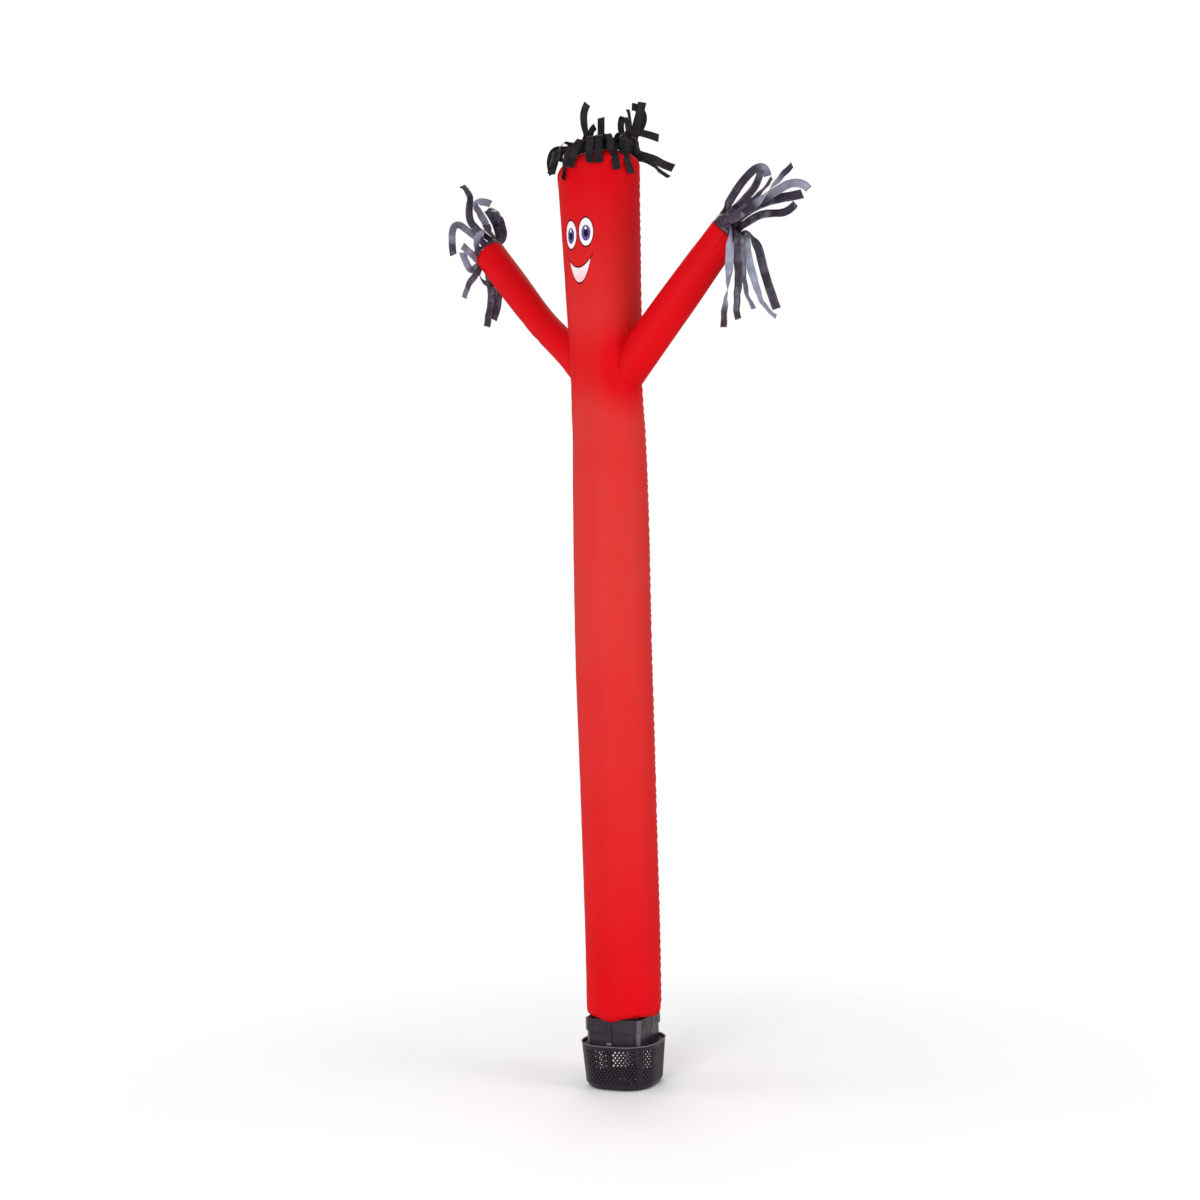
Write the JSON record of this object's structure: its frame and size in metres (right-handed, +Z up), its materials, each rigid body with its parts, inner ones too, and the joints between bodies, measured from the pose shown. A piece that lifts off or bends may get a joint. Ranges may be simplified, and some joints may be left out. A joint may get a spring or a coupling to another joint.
{
  "type": "inflatable air dancer",
  "caption": "Tall blown-up fabric tube figure with raised open sleeves, cut-strip fringes and a printed smiling face, on a square-round perforated blower.",
  "frame": {"origin": "middle of the blower's flat underside", "axes": "+Z up along the tube, the printed face looks to -Y and the sleeves spread along -X and +X"},
  "size_m": [1.3496, 0.4317, 3.2836],
  "materials": {
    "red_nylon": "smooth woven nylon, half shiny",
    "black_nylon": "cut woven nylon strips, grey sheen",
    "black_plastic": "fine-grained moulded plastic",
    "grey_plastic": "satin moulded plastic"
  },
  "bodies": {
    "root": {"tube_body": "red_nylon", "arm_right": "red_nylon", "arm_left": "red_nylon", "hair_fringe": "black_nylon", "streamers_right": "black_nylon", "streamers_left": "black_nylon", "blower_basket": "black_plastic", "blower_deck": "black_plastic", "blower_collar": "black_plastic", "latch_tab": "grey_plastic", "cord_gland": "black_plastic"}
  },
  "joints": []
}
